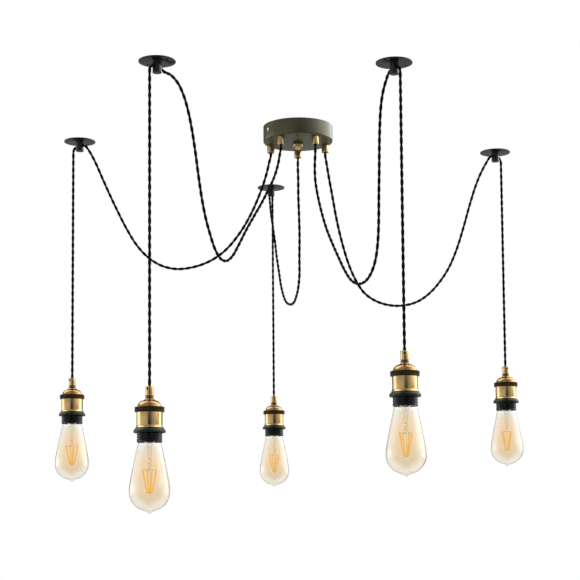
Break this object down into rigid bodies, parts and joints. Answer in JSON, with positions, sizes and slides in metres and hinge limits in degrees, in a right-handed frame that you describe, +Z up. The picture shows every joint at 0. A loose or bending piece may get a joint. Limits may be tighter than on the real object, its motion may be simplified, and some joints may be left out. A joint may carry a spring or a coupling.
{
  "type": "spider pendant light",
  "caption": "Ceiling light with a round canopy and swagged twisted cords that run over ceiling hooks to hanging brass lampholders with amber pear-shaped filament bulbs.",
  "frame": {"origin": "centre of the canopy's strap on the ceiling plane, its top face", "axes": "+Z up, out of the ceiling; +X to the viewer's right; +Y away from the viewer"},
  "size_m": [0.913, 0.9717, 0.725],
  "materials": {
    "canopy_paint": "dark olive gunmetal, satin",
    "zinc_steel": "zinc plated",
    "brass": "polished, lightly brushed",
    "white_plastic": "moulded, matte",
    "hook_paint": "black, satin",
    "cord_fabric": "braided textile, matte",
    "dark_metal": "dark bronze, satin",
    "phenolic": "moulded phenolic, half gloss",
    "amber_glass": "clear amber, glossy"
  },
  "bodies": {
    "ceiling_parts": {"canopy_cup": "canopy_paint", "ceiling_strap": "zinc_steel", "canopy_stud": "zinc_steel", "ball_nut": "brass", "terminal_block": "white_plastic", "canopy_grip_a": "brass", "canopy_grip_b": "brass", "canopy_grip_c": "brass", "canopy_grip_d": "brass", "canopy_grip_e": "brass", "ceiling_hook_a": "hook_paint", "ceiling_hook_b": "hook_paint", "ceiling_hook_c": "hook_paint", "ceiling_hook_d": "hook_paint", "ceiling_hook_e": "hook_paint", "swag_cord_a": "cord_fabric", "swag_cord_b": "cord_fabric", "swag_cord_c": "cord_fabric", "swag_cord_d": "cord_fabric", "swag_cord_e": "cord_fabric"},
    "pendant_a": {"drop_cord_a": "cord_fabric", "cord_grip_a": "brass", "holder_cap_a": "brass", "upper_ring_a": "dark_metal", "holder_sleeve_a": "brass", "socket_core_a": "phenolic"},
    "ring_a": {"shade_ring_a": "dark_metal"},
    "lamp_a": {"bulb_a": "amber_glass"},
    "pendant_b": {"drop_cord_b": "cord_fabric", "cord_grip_b": "brass", "holder_cap_b": "brass", "upper_ring_b": "dark_metal", "holder_sleeve_b": "brass", "socket_core_b": "phenolic"},
    "ring_b": {"shade_ring_b": "dark_metal"},
    "lamp_b": {"bulb_b": "amber_glass"},
    "pendant_c": {"drop_cord_c": "cord_fabric", "cord_grip_c": "brass", "holder_cap_c": "brass", "upper_ring_c": "dark_metal", "holder_sleeve_c": "brass", "socket_core_c": "phenolic"},
    "ring_c": {"shade_ring_c": "dark_metal"},
    "lamp_c": {"bulb_c": "amber_glass"},
    "pendant_d": {"drop_cord_d": "cord_fabric", "cord_grip_d": "brass", "holder_cap_d": "brass", "upper_ring_d": "dark_metal", "holder_sleeve_d": "brass", "socket_core_d": "phenolic"},
    "ring_d": {"shade_ring_d": "dark_metal"},
    "lamp_d": {"bulb_d": "amber_glass"},
    "pendant_e": {"drop_cord_e": "cord_fabric", "cord_grip_e": "brass", "holder_cap_e": "brass", "upper_ring_e": "dark_metal", "holder_sleeve_e": "brass", "socket_core_e": "phenolic"},
    "ring_e": {"shade_ring_e": "dark_metal"},
    "lamp_e": {"bulb_e": "amber_glass"}
  },
  "joints": [
    {"name": "swing_a", "type": "hinge", "parent": "ceiling_parts", "child": "pendant_a", "pos_m": [-0.423, 0.088, -0.0095], "axis": [-0.788, 0.6157, 0], "range_deg": [-20, 20]},
    {"name": "ring_travel_a", "type": "slide", "parent": "pendant_a", "child": "ring_a", "axis": [0, 0, -1], "range_m": [0, 0.015]},
    {"name": "bulb_travel_a", "type": "slide", "parent": "pendant_a", "child": "lamp_a", "axis": [0, 0, -1], "range_m": [0, 0.033]},
    {"name": "swing_b", "type": "hinge", "parent": "ceiling_parts", "child": "pendant_b", "pos_m": [-0.228, -0.392, -0.0095], "axis": [-0.5878, -0.809, 0], "range_deg": [-20, 20]},
    {"name": "ring_travel_b", "type": "slide", "parent": "pendant_b", "child": "ring_b", "axis": [0, 0, -1], "range_m": [0, 0.015]},
    {"name": "bulb_travel_b", "type": "slide", "parent": "pendant_b", "child": "lamp_b", "axis": [0, 0, -1], "range_m": [0, 0.033]},
    {"name": "swing_c", "type": "hinge", "parent": "ceiling_parts", "child": "pendant_c", "pos_m": [0.154, -0.375, -0.0095], "axis": [0.4695, -0.8829, 0], "range_deg": [-20, 20]},
    {"name": "ring_travel_c", "type": "slide", "parent": "pendant_c", "child": "ring_c", "axis": [0, 0, -1], "range_m": [0, 0.015]},
    {"name": "bulb_travel_c", "type": "slide", "parent": "pendant_c", "child": "lamp_c", "axis": [0, 0, -1], "range_m": [0, 0.033]},
    {"name": "swing_d", "type": "hinge", "parent": "ceiling_parts", "child": "pendant_d", "pos_m": [0.399, 0.196, -0.0095], "axis": [0.7314, 0.682, 0], "range_deg": [-20, 20]},
    {"name": "ring_travel_d", "type": "slide", "parent": "pendant_d", "child": "ring_d", "axis": [0, 0, -1], "range_m": [0, 0.015]},
    {"name": "bulb_travel_d", "type": "slide", "parent": "pendant_d", "child": "lamp_d", "axis": [0, 0, -1], "range_m": [0, 0.033]},
    {"name": "swing_e", "type": "hinge", "parent": "ceiling_parts", "child": "pendant_e", "pos_m": [-0.057, 0.484, -0.0095], "axis": [0.1392, 0.9903, 0], "range_deg": [-20, 20]},
    {"name": "ring_travel_e", "type": "slide", "parent": "pendant_e", "child": "ring_e", "axis": [0, 0, -1], "range_m": [0, 0.015]},
    {"name": "bulb_travel_e", "type": "slide", "parent": "pendant_e", "child": "lamp_e", "axis": [0, 0, -1], "range_m": [0, 0.033]}
  ]
}
